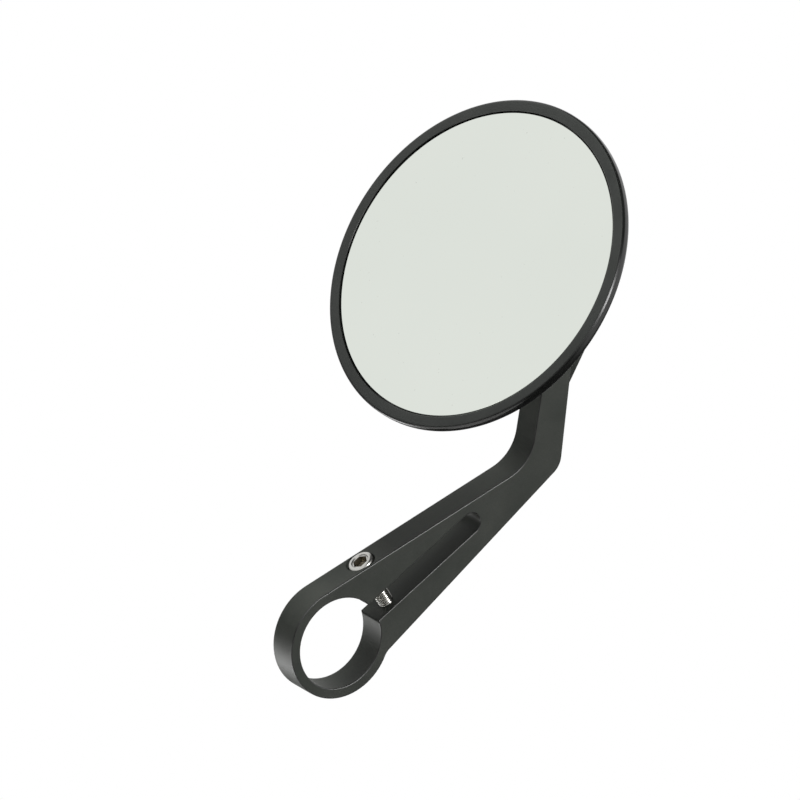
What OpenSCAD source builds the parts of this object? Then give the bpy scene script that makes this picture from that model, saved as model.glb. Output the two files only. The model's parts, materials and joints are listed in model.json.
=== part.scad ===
// Bar end mirror for a motorcycle: a flat milled arm with a slotted clamp ring,
// and a round turned mirror head that turns on a ball stud.
//
// Frame: the origin is the centre of the clamp bore, halfway through the arm.
// +X is along the handlebar, +Y is the way of travel, +Z is up. All sizes in mm.

/* [Clamp] */
// Bore that takes the handlebar or its reducing sleeve
clamp_bore_d = 30; // [26:0.5:33]
// Wall of the ring around the bore
clamp_wall = 3.4; // [3:0.1:5]
// Width of the slot that lets the ring close
slot_w = 7.1; // [5:0.1:7.6]
// Reach of the slot from the bore centre
slot_reach = 60.7; // [45:0.5:64]
// Lean of the slot from upright, towards the front
slot_lean = 19.8; // [18:0.2:22]

/* [Clamp screw] */
// Thread diameter of the clamp screw
screw_d = 5; // [4:0.5:5]
// Head diameter of the clamp screw
screw_head_d = 8.5; // [8:0.1:9]
// Head height of the clamp screw
screw_head_h = 5; // [4:0.25:5.5]
// Hexagon socket of the clamp screw, across flats
screw_socket = 4; // [3:0.5:4]
// Length of the clamp screw under its head
screw_len = 20; // [18:1:22]
// Distance of the clamp screw from the bore centre, along the slot
screw_out = 21.5; // [20.5:0.25:25]
// How far the screw head stands proud of the arm
screw_proud = 0.4; // [0:0.1:1]
// Chamfer around the top of the clamp screw's head and around its tip
screw_chamfer = 0.5; // [0.3:0.05:0.7]

/* [Arm] */
// Thickness of the arm plate, along the handlebar
arm_t = 10.8; // [9.8:0.1:13]
// Lean of the rear edge of the lower arm, towards the front
rear_lean = 31.4; // [30:0.2:32]
// Lean of the front edge of the lower arm, towards the front
front_lean = 14.4; // [13.5:0.1:15]
// Distance of the front edge from the bore centre
front_offset = 15.7; // [14.2:0.1:16.5]
// Radius of the inner round where the front edge runs into the ring
front_foot_r = 6; // [3:0.5:9]
// Height of the outer elbow corner
elbow_z = 84.5; // [82:0.1:88]
// Width of the upper arm at the elbow
upper_w = 11.7; // [10.5:0.1:12.5]
// Lean of the front edge of the upper arm, towards the rear
upper_front_lean = 31.3; // [30.5:0.1:32.5]
// Lean of the rear edge of the upper arm, towards the rear
upper_rear_lean = 28.1; // [27.2:0.1:29.2]
// Radius of the outer elbow
elbow_outer_r = 7; // [3:0.5:9]
// Radius of the inner elbow
elbow_inner_r = 14; // [6:0.5:16]
// Height at which the end block parts from the front edge of the upper arm
block_z = 107.8; // [106:0.2:112]
// Lean of the end block's front edge from upright, towards the rear
block_lean = 2; // [0:0.5:12]
// Step from the face of the arm down to the face of its end block
block_step = 0.4; // [0.2:0.1:0.8]
// Height of the end block above the stud axis
end_above = 8; // [7:0.25:11]
// Radius of the end block's two top corners
end_corner_r = 3; // [1:0.25:4]

/* [Ball joint] */
// Height of the ball above the clamp bore
ball_z = 123.5; // [121:0.5:126]
// Distance from the ball centre to the seat on the arm
stud_reach = 22.3; // [21:0.1:24]
// Place of the seat on the arm, in front of the clamp bore
seat_y = 7.5; // [6:0.25:9]
// Ball diameter
ball_d = 16; // [15:0.25:17]
// Neck diameter of the ball stud
neck_d = 8; // [7:0.25:8]
// Collar diameter of the ball stud
collar_d = 11; // [10:0.25:12]
// Collar length of the ball stud
collar_l = 4; // [3:0.25:5]
// Wrench flats on the collar, across flats
collar_flats = 9.5; // [9:0.25:9.75]
// Thread diameter of the stud's shank
shank_d = 6; // [5:0.25:7]
// Length of the stud's shank in the arm
shank_l = 9; // [7:0.25:9.5]
// Thickness of the two plastic ball seats
seat_wall = 2; // [1.5:0.1:2.4]
// Tilt of the head, up or down, that the gap between the two seats leaves free
tilt_swing = 15; // [8:0.5:16]
// Diameter of the set screw that locks the stud
set_d = 4; // [3:0.5:4]
// Hexagon socket of the set screw, across flats
set_socket = 2; // [1.5:0.1:2]

/* [Mirror head] */
// Turn of the head about the upright axis, from square to the stud
head_turn = 10.2; // [0:0.2:12]
// Outer diameter of the head
head_d = 111.4; // [106:0.2:116]
// Width of the flat front rim
rim_w = 4; // [3:0.1:5]
// Distance from the ball centre to the front of the rim
head_front = 17; // [16.5:0.1:19]
// Radius of the rim's front edge
rim_edge_r = 1; // [0.5:0.1:1.3]
// Radius of the rim's rear edge
rim_back_r = 2.2; // [1.5:0.1:2.6]
// Thickness of the rim, front to back
rim_depth = 4.3; // [3.8:0.1:5]
// Rise of the domed back from the rim to the hub
back_rise = 6.6; // [5:0.1:7]
// Wall of the hub around the retainer's guide boss
hub_wall = 6; // [5.8:0.1:7]
// Distance of the hub's rear face behind the ball centre
hub_back = 7; // [6.8:0.1:8]
// Radius between the hub and the domed back
hub_fillet = 5; // [3:0.25:6]
// Radius of the hub's rear edge
hub_edge_r = 2; // [1:0.25:2.5]

/* [Glass] */
// Thickness of the mirror glass
glass_t = 2; // [1.8:0.1:2.2]
// Radius of curvature of the convex glass
glass_curve = 1200; // [900:50:1600]
// Depth of the glass edge below the rim
glass_set = 0.4; // [0.2:0.1:0.8]
// Thickness of the foam pad under the glass
pad_t = 0.8; // [0.6:0.1:1]
// Bare border of the glass around the foam pad
pad_border = 3; // [2:0.5:6]

/* [Ball retainer] */
// Rim of the retainer flange outside its screw heads
flange_rim = 1.2; // [0.8:0.1:3]
// Thickness of the retainer flange
retainer_t = 3; // [2.6:0.1:3.2]
// Height of the flange above the ball centre
retainer_z = 7.5; // [7.3:0.1:7.7]
// Diameter of the retainer's guide boss
boss_d = 24; // [23:0.25:25]
// Bore through the middle of the retainer
retainer_bore_d = 8; // [6:0.25:10]
// Number of retainer screws
retainer_screws = 3; // [2:1:6]
// Thread diameter of the retainer screws
rs_d = 3; // [2.5:0.1:3]
// Head diameter of the retainer screws
rs_head_d = 5.6; // [5:0.1:6]
// Head height of the retainer screws
rs_head_h = 1.7; // [1.4:0.1:1.9]
// Length of the retainer screws under the head
rs_len = 8; // [6:0.5:8.5]
// Hexagon socket of the retainer screws, across flats
rs_socket = 2; // [1.5:0.1:2]

/* [Clearances] */
// Play around a thread or a guide, on the radius
guide_gap = 0.05; // [0.03:0.01:0.1]
// Running play at the ball and its seats, on the radius
ball_gap = 0.06; // [0.04:0.01:0.09]
// Play around a screw head, on the radius
head_gap = 0.55; // [0.3:0.05:0.6]
// Play between the foam pad and the glass
film_gap = 0.02; // [0.01:0.01:0.05]
// Gap around the glass and the retainer, on the radius
edge_gap = 0.3; // [0.2:0.05:0.5]

/* [Hidden] */
$fn = 96;
// a little more than nothing, for cuts that run past a face
past = 1;
// how far a filled round bites into the curve it meets, so that the two cross cleanly
bite = 0.02;

bore_r = clamp_bore_d / 2;
ring_r = bore_r + clamp_wall;
ball_r = ball_d / 2;
ball_y = seat_y - stud_reach;
// the seats' outer sphere, and the spheres that the seats run in and on
seat_r = ball_r + ball_gap + seat_wall;
seat_bed_r = seat_r + ball_gap;
// half of the gap that parts the two seats at the ball's equator, wide enough for the tilt
seat_split = seat_r * tan(tilt_swing / 2) + 0.12;
// the retainer's boss ends just in front of the equator
boss_z = 0.3;
// largest turn of the head away from the stud, both ways together
swing = 22;
// room around the stud's neck in the rear seat, and more of it in the housing
seat_room = 0.3;
hub_room = 1.2;
// what a blind hole is deeper than its screw or shank
hole_room = 0.5;
// the stud's neck and shank start this far inside the ball and the collar
root = 0.5;

// unit vector that leans by a degrees from upright, towards the front
function leaning(a) = [sin(a), cos(a)];
// the same vector turned a quarter turn, towards the front
function across(a) = [cos(a), -sin(a)];
// where the line through p along u meets the line through q along v
function meet(p, u, q, v) = p + u * ((q - p)[0] * v[1] - (q - p)[1] * v[0]) / (u[0] * v[1] - u[1] * v[0]);
function unit(v) = v / norm(v);
// points of an arc in steps, from angle a to angle b
function arc(c, r, a, b, n) = [for (i = [0:n]) c + r * [cos(a + (b - a) * i / n), sin(a + (b - a) * i / n)]];

// arm outline, in the plane of travel and height
rear_foot = -ring_r * across(rear_lean);
front_foot = front_offset * across(front_lean);
foot_rise = sqrt((ring_r + front_foot_r) ^ 2 - (front_offset + front_foot_r) ^ 2);
foot_centre = front_foot_r * across(front_lean) + front_foot + foot_rise * leaning(front_lean);
elbow_out = front_foot + leaning(front_lean) * (elbow_z - front_foot[1]) / cos(front_lean);
upper_rear = elbow_out - upper_w * across(-upper_front_lean);
elbow_in = meet(rear_foot, leaning(rear_lean), upper_rear, leaning(-upper_rear_lean));
seat_kink = meet(upper_rear, leaning(-upper_rear_lean), [seat_y, 0], [0, 1]);
end_top = ball_z + end_above;
end_rear = [seat_y, end_top];
plate_top = meet(elbow_out, leaning(-upper_front_lean), end_rear, [1, 0]);
// the end block runs in front of the upper arm, with its front edge nearly upright
block_kink = meet(elbow_out, leaning(-upper_front_lean), [0, block_z], [1, 0]);
end_front = meet(block_kink, leaning(-block_lean), end_rear, [1, 0]);

// the clamp screw crosses the slot at a right angle
screw_at = screw_out * leaning(slot_lean);
screw_dir = across(slot_lean);
// distance from the slot's middle back to the arm's rear edge, along the screw
rear_skin = (ring_r + screw_at * across(rear_lean)) / (screw_dir * across(rear_lean));
head_seat = rear_skin - screw_head_h + screw_proud;

// corner at p between the ways a and b, cut or filled to radius r
module corner(p, a, b, r) {
    half = acos(a * b) / 2;
    reach = r / tan(half);
    centre = p + unit(a + b) * r / sin(half);
    difference() {
        polygon([p - unit(a + b) * past, p + a * reach, centre, p + b * reach]);
        translate(centre) circle(r = r);
    }
}

// fills the corner between the ring and the front edge
module front_foot_round() {
    difference() {
        polygon([front_foot + foot_rise * leaning(front_lean) - past * across(front_lean),
                 front_foot + foot_rise * leaning(front_lean), foot_centre, unit(foot_centre) * ring_r]);
        translate(foot_centre) circle(r = front_foot_r + bite);
    }
}

// the arm's edges, without the rounding of its corners
module arm_edges() {
    polygon([[0, 0], rear_foot, elbow_in, seat_kink, end_rear, plate_top, elbow_out, front_foot]);
}

module end_block() {
    polygon([seat_kink, end_rear, end_front, block_kink]);
}

module slot_outline() {
    rotate(90 - slot_lean) {
        translate([0, -slot_w / 2]) square([slot_reach - slot_w / 2, slot_w]);
        translate([slot_reach - slot_w / 2, 0]) circle(d = slot_w);
    }
}

// lays what is drawn in the plane of travel and height upright, halfway about X = 0
module upright(t) {
    rotate([90, 0, 90]) translate([0, 0, -t / 2]) linear_extrude(t) children();
}

module arm_body() {
    cut_t = arm_t + 2 * past;
    difference() {
        union() {
            upright(arm_t) circle(r = ring_r);
            upright(arm_t) front_foot_round();
            upright(arm_t) arm_edges();
            upright(arm_t - 2 * block_step) end_block();
            upright(arm_t) corner(elbow_in, -leaning(rear_lean), leaning(-upper_rear_lean), elbow_inner_r);
        }
        upright(cut_t) circle(r = bore_r);
        upright(cut_t) corner(elbow_out, -leaning(front_lean), leaning(-upper_front_lean), elbow_outer_r);
        upright(cut_t) corner(end_rear, [0, -1], [1, 0], end_corner_r);
        upright(cut_t) corner(end_front, -leaning(-block_lean), [-1, 0], end_corner_r);
        upright(cut_t) slot_outline();
    }
}

// puts what is built along +Z onto the clamp screw's axis, with 0 under the head
module on_screw() {
    start = screw_at - screw_dir * head_seat;
    translate([0, start[0], start[1]]) rotate([-90 - slot_lean, 0, 0]) children();
}

// puts what is built along +Z onto the stud's axis, with 0 at the ball centre
module on_stud() {
    translate([0, ball_y, ball_z]) rotate([-90, 0, 0]) children();
}

// puts what is built along +Z onto the head's axis, with 0 at the ball centre
module on_head() {
    translate([0, ball_y, ball_z]) rotate([90, 0, head_turn]) children();
}

module hex_hole(flats, depth) {
    cylinder(d = flats / cos(30), h = depth, $fn = 6);
}

module arm() {
    color("dimgray") difference() {
        arm_body();
        on_screw() {
            translate([0, 0, -screw_head_h - 4 * past])
                cylinder(d = screw_head_d + 2 * head_gap, h = screw_head_h + 4 * past);
            cylinder(d = screw_d + 2 * guide_gap, h = head_seat + front_offset + 2 * past);
        }
        on_stud() translate([0, 0, stud_reach - past])
            cylinder(d = shank_d + 2 * guide_gap, h = shank_l + hole_room + past);
        translate([0, set_y, ball_z]) cylinder(d = set_d + 2 * guide_gap, h = end_above + past);
    }
}

module clamp_screw() {
    color("silver") on_screw() difference() {
        union() {
            translate([0, 0, -screw_head_h]) rotate_extrude()
                polygon([[0, 0], [screw_head_d / 2 - screw_chamfer, 0], [screw_head_d / 2, screw_chamfer],
                         [screw_head_d / 2, screw_head_h], [0, screw_head_h]]);
            cylinder(d = screw_d, h = screw_len - screw_chamfer);
            translate([0, 0, screw_len - screw_chamfer])
                cylinder(d1 = screw_d, d2 = screw_d - 2 * screw_chamfer, h = screw_chamfer);
        }
        translate([0, 0, -screw_head_h - past]) hex_hole(screw_socket, screw_head_h / 2 + past);
    }
}

module ball_stud() {
    neck_start = sqrt(ball_r * ball_r - neck_d * neck_d / 4) - root;
    color("silver") on_stud() {
        sphere(d = ball_d);
        translate([0, 0, neck_start]) cylinder(d = neck_d, h = stud_reach - neck_start);
        translate([0, 0, stud_reach - collar_l]) intersection() {
            cylinder(d = collar_d, h = collar_l);
            translate([-collar_flats / 2, -collar_d, 0]) cube([collar_flats, 2 * collar_d, collar_l]);
        }
        translate([0, 0, stud_reach - root]) cylinder(d = shank_d, h = shank_l + root);
    }
}

// the set screw stands on the stud's shank, halfway along it
set_y = seat_y + shank_l / 2;
set_top = end_above - hole_room;
set_socket_h = 1.8;
module stud_set_screw() {
    foot = shank_d / 2 + guide_gap;
    color("gray") translate([0, set_y, ball_z]) difference() {
        translate([0, 0, foot]) cylinder(d = set_d, h = set_top - foot);
        translate([0, 0, set_top - set_socket_h]) hex_hole(set_socket, set_socket_h + past);
    }
}

// way out for the stud's neck through the back of the head, wide enough for its swing
module neck_way(extra) {
    depth = hub_back + past;
    near = neck_d / 2 / cos(swing) + extra;
    translate([0, 0, -depth]) cylinder(r1 = near + depth * tan(swing), r2 = near, h = depth);
}

module seat_shell() {
    difference() {
        sphere(r = seat_r);
        sphere(r = ball_r + ball_gap);
        children();
    }
}

// the rear seat's back face lies just inside the hub's back face
seat_inset = 0.9;
rear_seat_end = hub_back - seat_inset;
module ball_seat_rear() {
    color("white") on_head() seat_shell() {
        translate([-seat_r, -seat_r, -seat_split]) cube([2 * seat_r, 2 * seat_r, 2 * seat_r]);
        translate([-seat_r, -seat_r, -rear_seat_end - 2 * seat_r]) cube(2 * seat_r);
        neck_way(seat_room);
    }
}

module ball_seat_front() {
    color("white") on_head() seat_shell() {
        translate([-seat_r, -seat_r, -2 * seat_r + seat_split]) cube([2 * seat_r, 2 * seat_r, 2 * seat_r]);
        translate([-seat_r, -seat_r, retainer_z]) cube(2 * seat_r);
    }
}

// mirror head, drawn as a half section: [radius, distance in front of the ball]
head_r = head_d / 2;
glass_r = head_r - rim_w - edge_gap;
rim_back = head_front - rim_depth;
hub_d = boss_d + 2 * hub_wall;
retainer_pcd = boss_d + hub_wall;
retainer_d = retainer_pcd + rs_head_d + 2 * flange_rim;
pocket_r = retainer_d / 2 + edge_gap;
function glass_drop(r) = r * r / (2 * glass_curve);
glass_edge_z = head_front - glass_set;
glass_top_z = glass_edge_z + glass_drop(glass_r);
floor_z = glass_edge_z - glass_t - pad_t;
// the domed back, from the rim to the hub
dome_in = hub_d / 2 + hub_fillet;
dome_out = head_r - rim_back_r;
dome_low = rim_back - back_rise;
function dome_z(r) = rim_back - back_rise * pow(cos(90 * (r - dome_in) / (dome_out - dome_in)), 1.5);

module mirror_housing() {
    steps = 16;
    dome = [for (i = [steps:-1:0]) let (r = dome_in + (dome_out - dome_in) * i / steps) [r, dome_z(r)]];
    color("dimgray") on_head() difference() {
        rotate_extrude() polygon(concat(
            [[0, head_front]],
            arc([head_r - rim_edge_r, head_front - rim_edge_r], rim_edge_r, 90, 0, 6),
            arc([head_r - rim_back_r, rim_back + rim_back_r], rim_back_r, 0, -90, 8),
            [for (i = [1:steps]) dome[i]],
            arc([dome_in, dome_low - hub_fillet], hub_fillet, 90, 180, 8),
            arc([hub_d / 2 - hub_edge_r, hub_edge_r - hub_back], hub_edge_r, 0, -90, 4),
            [[0, -hub_back]]));
        // glass pocket, retainer pocket and guide bore
        translate([0, 0, floor_z]) cylinder(r = glass_r + edge_gap, h = head_front);
        translate([0, 0, retainer_z]) cylinder(r = pocket_r, h = head_front);
        cylinder(r = boss_d / 2 + guide_gap, h = head_front);
        sphere(r = seat_bed_r);
        neck_way(hub_room);
        retainer_places() translate([0, 0, retainer_t - rs_len - hole_room])
            cylinder(d = rs_d + 2 * guide_gap, h = rs_len);
    }
}

module retainer_places() {
    for (i = [0:retainer_screws - 1])
        rotate(360 * (i + 0.5) / retainer_screws) translate([retainer_pcd / 2, 0, retainer_z]) children();
}

module ball_retainer() {
    color("gray") on_head() difference() {
        union() {
            translate([0, 0, retainer_z]) cylinder(d = retainer_d, h = retainer_t);
            translate([0, 0, boss_z]) cylinder(d = boss_d, h = retainer_z - boss_z + retainer_t / 2);
        }
        sphere(r = seat_bed_r);
        cylinder(d = retainer_bore_d, h = retainer_z + retainer_t + past);
        retainer_places() translate([0, 0, -past])
            cylinder(d = rs_d + 2 * guide_gap, h = retainer_t + 2 * past);
    }
}

module retainer_screws() {
    color("silver") on_head() retainer_places() translate([0, 0, retainer_t]) difference() {
        union() {
            cylinder(d1 = rs_head_d, d2 = rs_head_d * 0.6, h = rs_head_h);
            translate([0, 0, -rs_len]) cylinder(d = rs_d, h = rs_len + rs_head_h / 2);
        }
        translate([0, 0, rs_head_h / 2]) hex_hole(rs_socket, rs_head_h / 2 + past);
    }
}

// half section of a sheet that follows the glass's curve
module curved_sheet(r, low, high) {
    steps = 12;
    rotate_extrude() polygon(concat(
        [for (i = [0:steps]) let (x = r * i / steps) [x, high - glass_drop(x)]],
        [for (i = [steps:-1:0]) let (x = r * i / steps) [x, low - glass_drop(x)]]));
}

module glass_pad() {
    r = glass_r - pad_border;
    color("black") on_head() difference() {
        curved_sheet(r, floor_z - glass_t, glass_top_z - glass_t - film_gap);
        translate([0, 0, floor_z - 2 * head_front]) cylinder(r = glass_r, h = 2 * head_front);
    }
}

module mirror_glass() {
    color("lightgray") on_head() curved_sheet(glass_r, glass_top_z - glass_t, glass_top_z);
}

arm();
clamp_screw();
ball_stud();
stud_set_screw();
ball_seat_rear();
ball_seat_front();
mirror_housing();
ball_retainer();
retainer_screws();
glass_pad();
mirror_glass();
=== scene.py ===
# %% [markdown]
# A bar end mirror for a motorcycle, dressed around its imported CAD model.
#
# The real object is a flat black arm, milled from aluminium plate, that clamps around the end of a
# handlebar, and a round mirror head on a ball joint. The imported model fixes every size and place.
# This script adds what the eye looks for on top of it: fine edges, a cut thread, the finish of each
# surface, the light and the camera. Everything is in metres, in the frame of the CAD model:
# +X along the handlebar, +Y the way of travel, +Z up, and the origin in the clamp bore.

# %% Load the frame
import json
from math import asin, cos, pi, radians, sin, tan
import bmesh
import bpy
from mathutils import Matrix, Vector


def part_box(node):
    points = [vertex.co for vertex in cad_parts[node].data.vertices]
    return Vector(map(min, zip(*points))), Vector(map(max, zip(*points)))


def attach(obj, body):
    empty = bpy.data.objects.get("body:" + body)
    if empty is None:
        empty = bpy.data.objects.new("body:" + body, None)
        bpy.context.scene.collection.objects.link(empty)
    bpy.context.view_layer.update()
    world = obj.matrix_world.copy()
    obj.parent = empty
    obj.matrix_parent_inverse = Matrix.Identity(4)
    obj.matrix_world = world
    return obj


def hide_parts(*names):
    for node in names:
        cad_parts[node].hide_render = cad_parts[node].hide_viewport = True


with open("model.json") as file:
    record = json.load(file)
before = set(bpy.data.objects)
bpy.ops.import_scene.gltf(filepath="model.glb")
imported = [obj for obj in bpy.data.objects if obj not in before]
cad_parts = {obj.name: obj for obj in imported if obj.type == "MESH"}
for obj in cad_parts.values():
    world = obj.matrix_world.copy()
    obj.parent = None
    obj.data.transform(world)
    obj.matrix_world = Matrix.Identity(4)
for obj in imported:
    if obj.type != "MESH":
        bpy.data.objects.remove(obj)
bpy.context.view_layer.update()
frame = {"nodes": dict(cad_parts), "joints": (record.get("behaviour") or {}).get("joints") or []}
cad = frame["nodes"]
joints = {joint["name"]: joint for joint in frame["joints"]}
print("CAD nodes:", ", ".join(sorted(cad)))

# %% [markdown]
# A few helpers carry the whole script. One turns millimetres into metres, so that sizes read like
# a drawing. One turns the hex value of a colour, as it is seen on a screen, into the linear value
# that Blender calculates with. One adds a shader node and fills its inputs: a plain value is typed
# into the socket, and another node's output is linked to it. An input is named as in Blender, with
# an underscore for each space, or by its number after an underscore where names repeat.

# %% Helpers for sizes, colours and nodes
def mm(*sizes):
    scaled = [size / 1000 for size in sizes]
    return scaled[0] if len(scaled) == 1 else Vector(scaled)


def linear(hex_value):
    channels = [int(hex_value[i:i + 2], 16) / 255 for i in (1, 3, 5)]
    curve = [c / 12.92 if c <= 0.04045 else ((c + 0.055) / 1.055) ** 2.4 for c in channels]
    return (*curve, 1.0)


def put(tree, kind, settings=None, **inputs):
    node = tree.nodes.new(kind)
    for name, value in (settings or {}).items():
        setattr(node, name, value)
    for name, value in inputs.items():
        slot = int(name[1:]) if name[1:].isdigit() else name.replace("_", " ")
        socket = node.inputs[slot]
        if isinstance(value, bpy.types.NodeSocket):
            tree.links.new(value, socket)
        else:
            socket.default_value = value
    return node


def new_material(name):
    material = bpy.data.materials.new(name)
    material.use_nodes = True
    tree = material.node_tree
    shader = tree.nodes["Principled BSDF"]
    return material, tree, shader


print("mid grey #777777 is", round(linear("#777777")[0], 3), "in linear light")

# %% [markdown]
# The head turns about a ball, and its parts are all turned on a lathe about one axis. Its centre
# and axis come from the joints of the CAD model, so a matrix that stands at the ball and points
# its own +Z out of the glass lets each turned piece be drawn simply, as radius and height.

# %% Places taken from the frame
ball = Vector(joints["head_pan"]["pos_m"])
head_axis = Vector(joints["head_spin"]["axis"]).normalized()
up = Vector((0, 0, 1))
head_side = up.cross(head_axis).normalized()
at_head = Matrix.Translation(ball) @ Matrix((head_side, up, head_axis)).transposed().to_4x4()
arm_low, arm_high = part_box("arm")
arm_t = arm_high.x - arm_low.x


def turned_size(node):
    """Radius, rear and front of a turned node in mm, from the ball along the head's axis."""
    places = [at_head.inverted() @ v.co for v in cad[node].data.vertices]
    heights = [place.z * 1000 for place in places]
    return max(place.xy.length for place in places) * 1000, min(heights), max(heights)


head_r, hub_rear, rim_front = turned_size("mirror_housing")
glass_r, _, glass_top = turned_size("mirror_glass")
print("head radius", round(head_r, 2), "mm")
print("hub to rim", round(hub_rear, 2), "to", round(rim_front, 2), "mm")
print("glass radius", round(glass_r, 2), "mm, its front at", round(glass_top, 2), "mm")

# %% [markdown]
# A lathe function spins a closed section around +Z. A point on the axis becomes a single vertex.
# Faces are smooth, and an edge is marked sharp only where two faces meet at a real corner, so a
# rounded rim shades as round while the step beside it stays crisp.

# %% The lathe
def finish_mesh(name, mesh, place, sharp_deg=32):
    mesh.shade_smooth()
    mesh.set_sharp_from_angle(angle=radians(sharp_deg))
    piece = bpy.data.objects.new(name, mesh)
    piece.matrix_world = place
    bpy.context.scene.collection.objects.link(piece)
    return piece


def lathe(name, section, place, segments=192, sharp_deg=32, wave=None):
    """section: closed list of (radius, height) in mm, anticlockwise with radius to the right."""
    shape = bmesh.new()
    rings = []
    for step, (radius, height) in enumerate(section):
        if radius < 1e-6:
            rings.append([shape.verts.new(mm(0, 0, height))])
            continue
        ring = []
        for k in range(segments):
            angle = 2 * pi * k / segments
            r = radius + (wave(step, angle) if wave else 0)
            ring.append(shape.verts.new(mm(r * cos(angle), r * sin(angle), height)))
        rings.append(ring)
    for a, b in zip(rings, rings[1:] + rings[:1]):
        if len(a) == 1 and len(b) == 1:
            continue
        for k in range(segments):
            n = (k + 1) % segments
            corners = [a[0] if len(a) == 1 else a[k], a[0] if len(a) == 1 else a[n],
                       b[0] if len(b) == 1 else b[n], b[0] if len(b) == 1 else b[k]]
            shape.faces.new(list(dict.fromkeys(corners)))
    bmesh.ops.recalc_face_normals(shape, faces=shape.faces)
    mesh = bpy.data.meshes.new(name)
    shape.to_mesh(mesh)
    shape.free()
    return finish_mesh(name, mesh, place, sharp_deg)


def arc(centre, radius, start_deg, end_deg, steps):
    """Points of an arc in a section, between two angles that are 0 along the radius."""
    turn = [radians(start_deg + (end_deg - start_deg) * i / steps) for i in range(steps + 1)]
    return [(centre[0] + radius * cos(a), centre[1] + radius * sin(a)) for a in turn]


print("a quarter arc of 2 mm in 8 steps has", len(arc((0, 0), 2, 0, 90, 8)), "points")

# %% [markdown]
# Black anodised aluminium is bare metal under a thin glassy oxide that has soaked up dye. Bead
# blasting before the bath gives it a fine, even tooth: soft, wide reflections and no mirror
# image. The dye takes a little unevenly, which shows as a faint mottle. The grit of the beads is
# about 0.1 mm and finer than a pixel, so the grain is drawn at 0.35 mm, where it just shows.

# %% Finish: blasted and anodised plate
def blasted_anodised(name, hex_dark, hex_light, roughness, specular, grain_mm=0.35, mottle_mm=14):
    material, tree, shader = new_material(name)
    place = put(tree, "ShaderNodeTexCoord").outputs["Object"]
    mottle = put(tree, "ShaderNodeTexNoise", Vector=place, Scale=1000 / mottle_mm, Detail=3.0)
    grain = put(tree, "ShaderNodeTexNoise", Vector=place, Scale=1000 / grain_mm, Detail=2.0)
    blend = put(tree, "ShaderNodeMath", {"operation": "MULTIPLY_ADD"},
                _0=grain.outputs["Fac"], _1=0.45, _2=0.27)
    amount = put(tree, "ShaderNodeMath", {"operation": "MULTIPLY"},
                 _0=blend.outputs[0], _1=mottle.outputs["Fac"])
    tint = put(tree, "ShaderNodeMapRange", Value=amount.outputs[0], From_Min=0.15, From_Max=0.36)
    colour = put(tree, "ShaderNodeMix", {"data_type": "RGBA"}, _0=tint.outputs[0],
                 _6=linear(hex_dark), _7=linear(hex_light))
    tooth = put(tree, "ShaderNodeBump", Strength=0.12, Distance=mm(0.05),
                Height=grain.outputs["Fac"])
    rough = put(tree, "ShaderNodeMapRange", Value=mottle.outputs["Fac"], From_Min=0.3, From_Max=0.7,
                To_Min=roughness - 0.04, To_Max=roughness + 0.04)
    tree.links.new(colour.outputs[2], shader.inputs["Base Color"])
    tree.links.new(rough.outputs[0], shader.inputs["Roughness"])
    tree.links.new(tooth.outputs[0], shader.inputs["Normal"])
    shader.inputs["IOR"].default_value = 1.5
    shader.inputs["Specular IOR Level"].default_value = specular
    return material


arm_black = blasted_anodised("anodised_blasted_plate", "#2b2e2a", "#373935", 0.5, 0.16)
rim_black = blasted_anodised("anodised_blasted_rim", "#242624", "#2f312f", 0.46, 0.34)
# The arm's rounded edges get a darker colour than its faces: painted shade for the dark line beside
# the light one. Their lower roughness and stronger specular are the gloss of the cut edge.
edge_gloss_and_painted_shade = blasted_anodised("anodised_cut_edge_gloss_and_painted_shade", "#131412", "#1b1c1a", 0.3, 0.55)
print("made", arm_black.name, rim_black.name, edge_gloss_and_painted_shade.name)

# %% [markdown]
# The edge and back of the head are turned on a lathe and left as the tool cut them before the
# bath. The tool leaves fine rings, so light smears across them and lies in narrow bands on the
# rounded edge. The rings repeat every 0.25 mm, and a wave texture around the axis draws them.
# Bare steel and aluminium from the lathe get the same finish, with finer rings and as metal.

# %% Finish: turned metal
def turned(name, hex_dark, hex_light, roughness, metallic, ring_mm=0.25, depth=0.25, cloud_mm=9):
    material, tree, shader = new_material(name)
    place = put(tree, "ShaderNodeTexCoord").outputs["Object"]
    rings = put(tree, "ShaderNodeTexWave", {"wave_type": "RINGS", "rings_direction": "Z"},
                Vector=place, Scale=2 * pi / 20 / mm(ring_mm), Distortion=0.4, Detail=1.0)
    cloud = put(tree, "ShaderNodeTexNoise", Vector=place, Scale=1000 / cloud_mm, Detail=2.0)
    amount = put(tree, "ShaderNodeMath", {"operation": "MULTIPLY"},
                 _0=rings.outputs["Fac"], _1=cloud.outputs["Fac"])
    colour = put(tree, "ShaderNodeMix", {"data_type": "RGBA"}, _0=amount.outputs[0],
                 _6=linear(hex_dark), _7=linear(hex_light))
    groove = put(tree, "ShaderNodeBump", Strength=depth, Distance=mm(0.01),
                 Height=rings.outputs["Fac"])
    rough = put(tree, "ShaderNodeMapRange", Value=cloud.outputs["Fac"], From_Min=0.3, From_Max=0.7,
                To_Min=roughness - 0.04, To_Max=roughness + 0.05)
    tree.links.new(colour.outputs[2], shader.inputs["Base Color"])
    tree.links.new(rough.outputs[0], shader.inputs["Roughness"])
    tree.links.new(groove.outputs[0], shader.inputs["Normal"])
    shader.inputs["Metallic"].default_value = metallic
    return material


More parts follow.
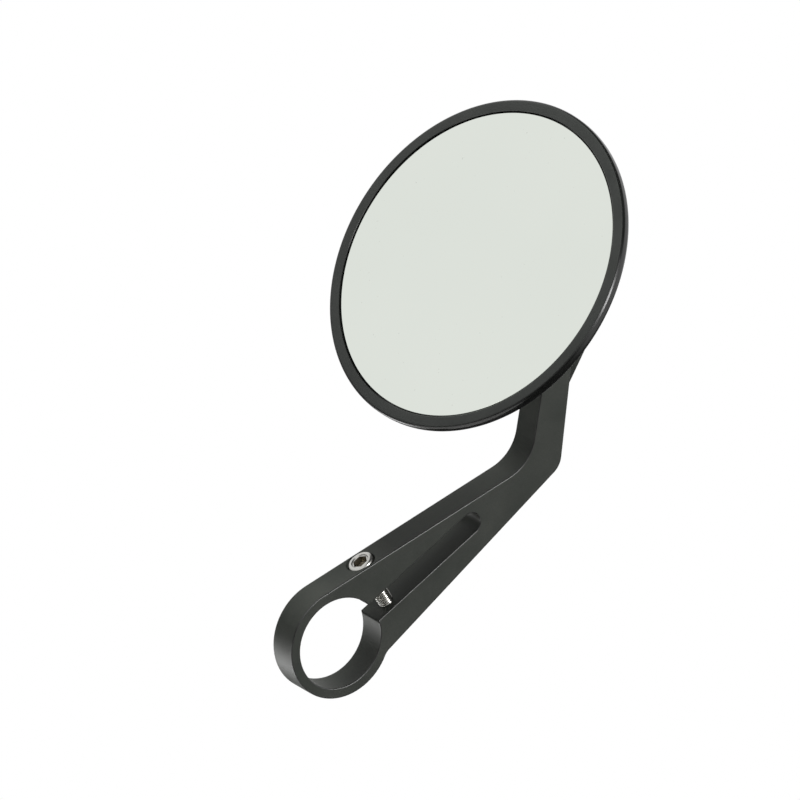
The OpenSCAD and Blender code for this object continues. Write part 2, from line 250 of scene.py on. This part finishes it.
turned_black = turned("anodised_turned_edge", "#0d0e0d", "#171817", 0.22, 0.0)
turned_steel = turned("stainless_turned", "#b9b8b4", "#d8d7d2", 0.24, 1.0, ring_mm=0.12)
formed = {"metallic": 1.0, "ring_mm": 2.0, "depth": 0.05}
rolled_steel = turned("stainless_rolled", "#dcdbd6", "#f0efea", 0.2, **formed)
# The thread root and the socket well get a darker steel: painted shade in these hollows.
root_steel_painted_shade = turned("stainless_thread_root_painted_shade", "#6c6a64", "#85837c", 0.4, **formed)
socket_steel_painted_shade = turned("stainless_socket_painted_shade", "#8f8a7e", "#a39e92", 0.3, **formed)
turned_plain = turned("aluminium_turned", "#bcbdbd", "#d6d7d7", 0.32, 1.0, ring_mm=0.2)
print("made", ", ".join(m.name for m in (turned_black, turned_steel, rolled_steel, root_steel_painted_shade,
                                         socket_steel_painted_shade, turned_plain)))

# %% [markdown]
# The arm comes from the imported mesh, because its outline is exact. A real edge on a milled plate
# is never a knife edge: a small round of 0.35 mm is run around it, and on black parts this
# is what draws the thin light line along every edge. So the mesh is copied, its doubled points are
# joined, its flat triangles are melted into whole faces, and a bevel rounds the edges of the
# plate's two flat faces. One form is set more closely to the photograph than the solid has it: the
# front edge of the end block leans back by 8 degrees, and by 2 degrees in the solid.

# %% The milled arm
def on_outline(edge):
    """An edge between one of the plate's two flat faces and a face that runs through the plate."""
    plane = arm_t / 2 - mm(0.01)
    in_plane = [abs(face.calc_center_median().x) > plane for face in edge.link_faces]
    return sorted(in_plane) == [False, True]


def lean_end_block(shape, solid_lean=2.0, photo_lean=8.0):
    """Leans the front edge of the end block, in front of the stud's hole, back about its foot."""
    ahead_of_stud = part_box("ball_stud")[1].y + mm(2)
    above_bend = ball.z - mm(17)
    below_face = arm_t / 2 - mm(0.1)
    front = [v for v in shape.verts
             if abs(v.co.x) < below_face and v.co.y > ahead_of_stud and v.co.z > above_bend]
    foot = min(v.co.z for v in front)
    more = tan(radians(photo_lean)) - tan(radians(solid_lean))
    for v in front:
        v.co.y -= (v.co.z - foot) * more
    print("leant", len(front), "points of the end block")


def edged_copy(name, node, width_mm, segments, same_point_mm=0.002, same_plane_deg=0.5):
    shape = bmesh.new()
    shape.from_mesh(cad[node].data)
    bmesh.ops.remove_doubles(shape, verts=shape.verts, dist=mm(same_point_mm))
    bmesh.ops.dissolve_limit(shape, angle_limit=radians(same_plane_deg), verts=shape.verts,
                             edges=shape.edges)
    lean_end_block(shape)
    sharp = [edge for edge in shape.edges if on_outline(edge)]
    # The faces of the round take the second material, whose darker colour is painted shade along
    # each edge.
    bmesh.ops.bevel(shape, geom=sharp, offset=mm(width_mm), segments=segments, profile=0.5,
                    affect="EDGES", clamp_overlap=False, material=1)
    mesh = bpy.data.meshes.new(name)
    shape.to_mesh(mesh)
    shape.free()
    piece = finish_mesh(name, mesh, Matrix.Identity(4), 50)
    even = piece.modifiers.new("even normals", "WEIGHTED_NORMAL")
    even.keep_sharp, even.weight = True, 100
    print(name, "has", len(mesh.polygons), "faces and", len(sharp), "bevelled edges")
    return piece


milled_arm = edged_copy("milled_arm", "arm", 0.35, 4)
milled_arm.data.materials.append(arm_black)
milled_arm.data.materials.append(edge_gloss_and_painted_shade)
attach(milled_arm, "arm")
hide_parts("arm")

# %% [markdown]
# The housing is one turned dish. Its section runs from the front of the rim around the outer edge,
# along the domed back, around the hub, through the ball's way out and back up the inside. The
# values are those of the CAD model, and each curve gets enough steps to look round up close.

# %% The turned housing
rim_width = 4.0
rim_depth = 4.3
edge_r, back_r = 1.0, 2.2
hub_r, hub_fillet, hub_edge_r = 18.0, 5.0, 2.0
dome_drop = 6.6
boss_r, flange_r, flange_rest = 12.05, 19.3, 7.5
seat_bed_r = 10.12
neck_hole_r, mouth_r, mouth_height = 8.34, 8.0, -6.2
way_out = [(neck_hole_r, hub_rear), (mouth_r, mouth_height)]
pocket_depth = 3.2
pocket_r, pocket_floor = head_r - rim_width, rim_front - pocket_depth
lip = 0.15
rim_rear = rim_front - rim_depth
dome_inner, dome_outer = hub_r + hub_fillet, head_r - back_r


def dome_height(radius):
    share = (radius - dome_inner) / (dome_outer - dome_inner)
    return rim_rear - dome_drop * cos(pi / 2 * share) ** 1.5


dome_steps = 40
dome = [dome_outer + (dome_inner - dome_outer) * i / dome_steps for i in range(1, dome_steps)]
outside = (arc((head_r - edge_r, rim_front - edge_r), edge_r, 90, 0, 8)
           + arc((head_r - back_r, rim_rear + back_r), back_r, 0, -90, 12)
           + [(radius, dome_height(radius)) for radius in dome]
           + arc((dome_inner, rim_rear - dome_drop - hub_fillet), hub_fillet, 90, 180, 12)
           + arc((hub_r - hub_edge_r, hub_rear + hub_edge_r), hub_edge_r, 0, -90, 8))
mouth_deg = asin(mouth_height / seat_bed_r) * 180 / pi
seat_bed = arc((0, 0), seat_bed_r, mouth_deg, 0, 12)[1:]
inside = [(boss_r, 0), (boss_r, flange_rest), (flange_r, flange_rest), (flange_r, pocket_floor),
          (pocket_r, pocket_floor), (pocket_r, rim_front - lip), (pocket_r + lip, rim_front)]
housing = lathe("turned_housing", outside + way_out + seat_bed + inside, at_head, 256, 28)
housing.data.materials.append(turned_black)
housing.data.materials.append(rim_black)
just_below_rim = mm(rim_front - 0.05)
for face in housing.data.polygons:
    if face.center.z > just_below_rim:
        face.material_index = 1
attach(housing, "head")
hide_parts("mirror_housing")
print("housing has", len(housing.data.polygons), "faces")

# %% [markdown]
# A rear-view glass for a motorcycle is slightly convex, so that it shows more road. It is ground
# from thin sheet glass, silvered, and set just below the rim, with a fine dark gap around it. The
# silver is what reflects: a metal surface with no roughness. The glass over it is faintly green,
# so its colour is a light grey green. It gets a trace of dust, which is a little darker and lifts
# the roughness in specks.

# %% The mirror glass
glass_curve, glass_t = 1200.0, 2.0
ground = 0.25
haze_mm, dust_mm = 60, 1.1


def skin(height, steps):
    """Half section of a sphere cap of the glass's curve, from the middle out to its edge."""
    radii = [glass_r * i / steps for i in range(steps + 1)]
    return [(r, height - r * r / (2 * glass_curve)) for r in radii]


front_skin, rear_skin = skin(glass_top, 48), skin(glass_top - glass_t, 12)
edge_top = front_skin[-1][1]
ground_edge = [(glass_r - ground, edge_top), (glass_r, edge_top - ground)]
glass = lathe("convex_glass", front_skin[:-1] + ground_edge + rear_skin[::-1], at_head, 256, 30)

silvered, tree, shader = new_material("silvered_glass")
place = put(tree, "ShaderNodeTexCoord").outputs["Object"]
haze = put(tree, "ShaderNodeTexNoise", Vector=place, Scale=1000 / haze_mm, Detail=2.0)
dust = put(tree, "ShaderNodeTexNoise", Vector=place, Scale=1000 / dust_mm, Detail=3.0)
speck = put(tree, "ShaderNodeMapRange", Value=dust.outputs["Fac"], From_Min=0.72, From_Max=0.8)
colour = put(tree, "ShaderNodeMix", {"data_type": "RGBA"}, _0=haze.outputs["Fac"],
             _6=linear("#dadfd8"), _7=linear("#dfe3dc"))
dusty = put(tree, "ShaderNodeMix", {"data_type": "RGBA"}, _0=speck.outputs[0],
            _6=colour.outputs[2], _7=linear("#c9cdc6"))
rough = put(tree, "ShaderNodeMapRange", Value=speck.outputs[0], To_Min=0.0, To_Max=0.12)
tree.links.new(dusty.outputs[2], shader.inputs["Base Color"])
tree.links.new(rough.outputs[0], shader.inputs["Roughness"])
shader.inputs["Metallic"].default_value = 1.0
glass.data.materials.append(silvered)
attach(glass, "head")
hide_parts("mirror_glass")
print("glass has", len(glass.data.polygons), "faces, radius", round(glass_r, 2), "mm")

# %% [markdown]
# The clamp screw is a stainless socket head screw of 5 mm with a pitch of 0.8 mm. Its thread shows
# where it crosses the slot, so the thread is real geometry: a ring of points for every twelfth of
# a turn, whose radius rises and falls with height and swings once around per turn. The head is
# turned with a small chamfer, and a hexagon socket with a countersunk mouth is sunk into it. The
# well of the socket and the root of the thread get a darker, rougher steel; the darker colour is
# painted shade in these hollows.

# %% Where the clamp screw lies
screw_lean = radians(19.8)
screw_way = Vector((0, cos(screw_lean), -sin(screw_lean)))
across_way = Vector((1, 0, 0)).cross(screw_way)
screw_head_h, screw_head_r, screw_r, screw_len = 5.0, 4.25, 2.5, 20.0
socket_flats, socket_depth = 4.5, 2.6
screw_points = [v.co for v in cad["clamp_screw"].data.vertices]
along = [point.dot(screw_way) for point in screw_points]
sideways = [point.dot(across_way) for point in screw_points]
screw_top = screw_way * min(along) + across_way * (max(sideways) + min(sideways)) / 2
screw_turn = Matrix((Vector((1, 0, 0)), across_way * -1, screw_way)).transposed().to_4x4()
screw_place = Matrix.Translation(screw_top + screw_way * mm(screw_head_h)) @ screw_turn
print("the screw's head rests at", [round(c * 1000, 1) for c in screw_place.translation], "mm")


# %% A hexagon and the head of a socket screw
def hexagon(flats, height, points=6):
    """Corners of a hexagon in mm, from its width across the flats."""
    corner = flats / 2 / cos(pi / points)
    turns = [2 * pi * (k + 0.5) / points for k in range(points)]
    return [mm(corner * cos(turn), corner * sin(turn), height) for turn in turns]


def socket_head(name, head_r, head_h, flats, depth, place, chamfer=0.5, countersink=0.3):
    """Head of a socket screw: a turned outside, joined at its top to a six-sided well."""
    shape = bmesh.new()
    segments, sides = 96, 6
    top = -head_h
    profile = [(head_r, 0.0), (head_r, top + chamfer * 1.4),
               (head_r - chamfer * 0.35, top + chamfer * 0.5),
               (head_r - chamfer, top + chamfer * 0.12), (head_r - chamfer * 1.5, top),
               (flats * 0.66, top), (flats * 0.585, top + countersink)]
    circle = [2 * pi * k / segments for k in range(segments)]
    rings = [[shape.verts.new(mm(r * cos(turn), r * sin(turn), z)) for turn in circle]
             for r, z in profile]
    base = shape.verts.new((0, 0, 0))
    for k in range(segments):
        n = (k + 1) % segments
        shape.faces.new([base, rings[0][n], rings[0][k]])
        for a, b in zip(rings, rings[1:]):
            shape.faces.new([a[k], a[n], b[n], b[k]])
    mouth = [shape.verts.new(point) for point in hexagon(flats, top + countersink)]
    floor = [shape.verts.new(point) for point in hexagon(flats, top + depth)]
    tip = shape.verts.new(mm(0, 0, top + depth + flats * 0.22))
    inner = rings[-1]
    per_side = segments // sides
    half = per_side // 2
    for side in range(sides):
        following = (side + 1) % sides
        first = side * per_side + half
        fan = [inner[(first + i) % segments] for i in range(per_side + 1)]
        for a, b in zip(fan[:half], fan[1:]):
            shape.faces.new([mouth[side], a, b])
        shape.faces.new([mouth[side], fan[half], mouth[following]])
        for a, b in zip(fan[half:], fan[half + 1:]):
            shape.faces.new([mouth[following], a, b])
        shape.faces.new([mouth[side], mouth[following], floor[following], floor[side]])
        shape.faces.new([floor[side], floor[following], tip])
    bmesh.ops.recalc_face_normals(shape, faces=shape.faces)
    mesh = bpy.data.meshes.new(name)
    shape.to_mesh(mesh)
    shape.free()
    return finish_mesh(name, mesh, place)


socket_corners = 2 * hexagon(socket_flats, 0)[0].length
print("the socket is", round(socket_corners * 1000, 2), "mm across its corners")

# %% The clamp screw's thread
pitch, thread_depth = 0.8, 0.45
per_turn = 12
thread_start, tip_chamfer = 0.05, 0.6
thread_end = screw_len - tip_chamfer
thread_rows = int(thread_end / pitch * per_turn)
thread_heights = [thread_start + (thread_end - thread_start) * i / thread_rows
                  for i in range(thread_rows + 1)]
crest_flat, flank_slope = 0.1, 1.2


def thread_wave(step, angle):
    """What the thread adds to the radius, in mm, at a ring of the section and an angle."""
    if step < 2 or step > thread_rows:
        return 0.0
    turns = thread_heights[step - 1] / pitch - angle / (2 * pi)
    from_crest = abs(2 * (turns % 1.0) - 1)
    return -thread_depth * min(1.0, max(0.0, (from_crest - crest_flat) * flank_slope))


thread_section = ([(0, thread_start)] + [(screw_r, height) for height in thread_heights]
                  + [(screw_r - tip_chamfer, screw_len), (0, screw_len)])
thread = lathe("clamp_screw_thread", thread_section, screw_place, 48, 50, thread_wave)
thread.data.materials.append(rolled_steel)
print("thread has", len(thread.data.polygons), "faces over", round(screw_len / pitch), "turns")

# %% The clamp screw's head, and painted shade in its hollows
screw_head = socket_head("clamp_screw_head", screw_head_r, screw_head_h, socket_flats,
                         socket_depth, screw_place)
screw_head.data.materials.append(turned_steel)
root_r = screw_r - 0.28
well_r, well_mouth = 2.4, 0.4 - screw_head_h
# Faces in the thread's root and in the socket's well take the darker steel: painted shade in these
# hollows.
for piece, shaded_steel, in_hollow_shade in (
        (thread, root_steel_painted_shade, lambda c: c.xy.length < mm(root_r)),
        (screw_head, socket_steel_painted_shade, lambda c: c.z > mm(well_mouth) and c.xy.length < mm(well_r))):
    piece.data.materials.append(shaded_steel)
    for face in piece.data.polygons:
        if in_hollow_shade(face.center):
            face.material_index = 1
    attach(piece, "arm")
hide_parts("clamp_screw")
print("head has", len(screw_head.data.polygons), "faces")

# %% [markdown]
# The pieces of the ball joint keep their CAD shapes, because those are already right. Each only
# gets the finish of the real one. Steel that is blackened in a hot salt bath is dark and a little
# oily. Acetal is a waxy white plastic: light goes a little way into it, so its highlights are
# soft. Foam tape is dull and full of small pores.

# %% Finishes of the small parts
def grained(name, hex_dark, hex_light, roughness, grain_mm, bump, metallic=0.0, ior=1.5):
    material, tree, shader = new_material(name)
    place = put(tree, "ShaderNodeTexCoord").outputs["Object"]
    grain = put(tree, "ShaderNodeTexNoise", Vector=place, Scale=1000 / grain_mm, Detail=4.0)
    colour = put(tree, "ShaderNodeMix", {"data_type": "RGBA"}, _0=grain.outputs["Fac"],
                 _6=linear(hex_dark), _7=linear(hex_light))
    relief = put(tree, "ShaderNodeBump", Strength=bump, Distance=mm(0.05),
                 Height=grain.outputs["Fac"])
    rough = put(tree, "ShaderNodeMapRange", Value=grain.outputs["Fac"], From_Min=0.3, From_Max=0.7,
                To_Min=roughness - 0.05, To_Max=roughness + 0.05)
    tree.links.new(colour.outputs[2], shader.inputs["Base Color"])
    tree.links.new(rough.outputs[0], shader.inputs["Roughness"])
    tree.links.new(relief.outputs[0], shader.inputs["Normal"])
    shader.inputs["Metallic"].default_value = metallic
    if not metallic:
        shader.inputs["IOR"].default_value = ior
    return material


black_oxide = grained("steel_black_oxide", "#232322", "#2e2e2c", 0.38, 0.8, 0.1, metallic=1.0)
acetal = grained("acetal_moulded", "#dcdad2", "#e6e4dc", 0.4, 1.5, 0.05, ior=1.48)
foam = grained("foam_tape", "#1b1b1b", "#2a2a2a", 0.85, 0.4, 0.6)
finishes = {"ball_stud": turned_steel, "stud_set_screw": black_oxide, "ball_seat_rear": acetal,
            "ball_seat_front": acetal, "ball_retainer": turned_plain,
            "retainer_screws": turned_steel, "glass_pad": foam}
for node, finish in finishes.items():
    cad[node].data.materials.clear()
    cad[node].data.materials.append(finish)
print("dressed", len(finishes), "CAD nodes")

# %% [markdown]
# The camera looks from the rider's side, almost level, and is rolled so that the arm hangs across
# the picture. Three unit vectors say how it stands: what is right in the picture, what is down, and
# the way from the object to the lens. The centre of the clamp's front face is at a known pixel, and
# the picture holds 3.18 pixels per millimetre there, which fixes the aim. The lens is long and far
# away, because the photograph shows almost no perspective.

# %% The camera
picture = 800
clamp_pixel = (340.8, 643.4)
pixels_per_mm = 3.18
right = Vector((0.537, 0.662, 0.523)).normalized()
toward = Vector((0.7875, -0.6157, -0.0293)).normalized()
toward = (toward - right * toward.dot(right)).normalized()
down = toward.cross(right) * -1
distance = 10.0
aim = Vector((arm_t / 2, 0, 0)) + (right * (picture / 2 - clamp_pixel[0])
                                   + down * (picture / 2 - clamp_pixel[1])) * mm(1) / pixels_per_mm
lens = bpy.data.cameras.new("camera")
camera = bpy.data.objects.new("camera", lens)
bpy.context.scene.collection.objects.link(camera)
camera.matrix_world = (Matrix.Translation(aim + toward * distance)
                       @ Matrix((right, down * -1, toward)).transposed().to_4x4())
lens.sensor_width = 36.0
lens.lens = pixels_per_mm * 1000 * distance * lens.sensor_width / picture
lens.clip_start, lens.clip_end = 0.05, 50
bpy.context.scene.camera = camera
print("camera at", [round(c, 3) for c in camera.location], "with a", round(lens.lens), "mm lens")

# %% [markdown]
# The studio is plain: a pale floor well below the held part and a white surround. The camera sees
# both as white, and from underneath the floor lets it see through. Glossy rays see the same
# white, apart from what lies low and three dim places: overhead, low at the right, and low behind
# the part. Black metal has no shape of its own, so these dim places are what draws the dark line
# beside a bright one along its rounded edges. The glass mirrors sharply and shows the plain white.
# Diffuse light from the surround is a low, even grey, and soft lamps do the rest.

# %% The surround
def clear_rays(tree):
    """The light path node, and 1 for the rays that see the background as plain white."""
    rays = put(tree, "ShaderNodeLightPath")
    clear = put(tree, "ShaderNodeMath", {"operation": "MAXIMUM"},
                _0=rays.outputs["Is Camera Ray"], _1=rays.outputs["Is Transmission Ray"])
    return rays, clear.outputs[0]


def white_sky(tree, strength):
    return put(tree, "ShaderNodeBackground", Color=(1, 1, 1, 1), Strength=strength).outputs[0]


low_z, high_z, low_light = -0.22, -0.05, 0.3
# the way to each dim place, its outer and inner half angle, and the share of light left in it
dim_places = [((0.08, -0.22, 0.97), 58, 34, 0.06),
              ((0.65, 0.1, -0.75), 55, 30, 0.1),
              ((-0.1, 0.9, -0.35), 43, 32, 0.1)]
even_strength = 0.05

world = bpy.data.worlds.new("studio")
bpy.context.scene.world = world
world.use_nodes = True
tree = world.node_tree
tree.nodes.clear()
rays, clear = clear_rays(tree)
way = put(tree, "ShaderNodeTexCoord").outputs["Generated"]
height = put(tree, "ShaderNodeSeparateXYZ", Vector=way).outputs["Z"]
glossy_light = put(tree, "ShaderNodeMapRange", Value=height, From_Min=low_z, From_Max=high_z,
                   To_Min=low_light, To_Max=1.0).outputs[0]
for dim_way, outer_deg, inner_deg, left_over in dim_places:
    facing = put(tree, "ShaderNodeVectorMath", {"operation": "DOT_PRODUCT"}, _0=way,
                 _1=Vector(dim_way).normalized())
    share = put(tree, "ShaderNodeMapRange", {"interpolation_type": "SMOOTHSTEP"},
                Value=facing.outputs["Value"], From_Min=cos(radians(outer_deg)),
                From_Max=cos(radians(inner_deg)), To_Min=1.0, To_Max=left_over)
    glossy_light = put(tree, "ShaderNodeMath", {"operation": "MULTIPLY"}, _0=glossy_light,
                       _1=share.outputs[0]).outputs[0]
lit_or_mirrored = put(tree, "ShaderNodeMixShader", _0=rays.outputs["Is Glossy Ray"],
                      _1=white_sky(tree, even_strength), _2=white_sky(tree, glossy_light))
clear_or_sharp = put(tree, "ShaderNodeMath", {"operation": "MAXIMUM"}, _0=clear,
                     _1=rays.outputs["Is Singular Ray"])
sky = put(tree, "ShaderNodeMixShader", _0=clear_or_sharp.outputs[0], _1=lit_or_mirrored.outputs[0],
          _2=white_sky(tree, 1.0))
put(tree, "ShaderNodeOutputWorld", Surface=sky.outputs[0])
print("the surround has", len(dim_places), "dim places")

# %% The floor
floor_radius, floor_drop, floor_glow = 0.32, 0.25, 0.9
fibres_per_metre = 900.0
floor_mesh = bpy.data.meshes.new("floor")
disc = bmesh.new()
bmesh.ops.create_circle(disc, cap_ends=True, segments=96, radius=floor_radius)
disc.to_mesh(floor_mesh)
disc.free()
floor = bpy.data.objects.new("floor", floor_mesh)
floor.location = (ball.x, ball.y, arm_low.z - floor_drop)
bpy.context.scene.collection.objects.link(floor)

paper, tree, shader = new_material("pale_paper")
fibre = put(tree, "ShaderNodeTexNoise", Scale=fibres_per_metre, Detail=4.0)
tone = put(tree, "ShaderNodeMix", {"data_type": "RGBA"}, _0=fibre.outputs["Fac"],
           _6=linear("#f2f2f0"), _7=linear("#fafaf8"))
tree.links.new(tone.outputs[2], shader.inputs["Base Color"])
shader.inputs["Roughness"].default_value = 0.9
rays, clear = clear_rays(tree)
glow = put(tree, "ShaderNodeEmission", Color=(1, 1, 1, 1), Strength=1.0)
share = put(tree, "ShaderNodeMath", {"operation": "MULTIPLY"}, _0=clear, _1=floor_glow)
upper_side = put(tree, "ShaderNodeMixShader", _0=share.outputs[0], _1=shader.outputs[0],
                 _2=glow.outputs[0])
under_side = put(tree, "ShaderNodeBsdfTransparent")
is_under = put(tree, "ShaderNodeNewGeometry").outputs["Backfacing"]
both_sides = put(tree, "ShaderNodeMixShader", _0=is_under, _1=upper_side.outputs[0],
                 _2=under_side.outputs[0])
tree.links.new(both_sides.outputs[0], tree.nodes["Material Output"].inputs["Surface"])
floor_mesh.materials.append(paper)
print("floor lies", round(floor_drop * 1000), "mm under the clamp")

# %% [markdown]
# Soft boxes light it. The large key hangs behind the rider's shoulder and above, and makes the
# upper edges the lightest; shiny surfaces don't mirror it. A long strip beside the part keeps the
# arm's flat face even and gives the rounded rim its one bright streak, which a second one in the
# same place, mirrored only, makes wider. A small faint one below stands for the glow of the table
# and lifts the inside of the clamp ring.

# %% Lamps
part_middle = Vector((0, 0, 0.075))


def soft_box(name, way, distance, size, power):
    """A rectangular lamp that looks at the middle of the part; sizes in metres, power in watts."""
    light = bpy.data.lights.new(name, "AREA")
    light.shape = "RECTANGLE"
    light.size, light.size_y = size
    light.energy = power
    lamp = bpy.data.objects.new(name, light)
    bpy.context.scene.collection.objects.link(lamp)
    way = Vector(way).normalized()
    lamp.location = part_middle + way * distance
    lamp.rotation_euler = way.to_track_quat("Z", "Y").to_euler()
    lamp.visible_camera = False
    return lamp


strip_way, strip_distance, strip_length = (0.9, 0.0, 0.4), 1.0, 1.1
key = soft_box("key", (-0.15, -0.45, 0.88), 1.1, (0.7, 0.7), 26.0)
key.visible_glossy = False
soft_box("side strip", strip_way, strip_distance, (strip_length, 0.2), 10.0)
shine = soft_box("strip shine", strip_way, strip_distance, (strip_length, 0.3), 7.0)
shine.visible_diffuse = False
soft_box("table glow", (-0.68, 0.0, -1.0), 0.224, (0.08, 0.08), 0.13)

# %% Colour
bpy.context.scene.view_settings.view_transform = "Standard"
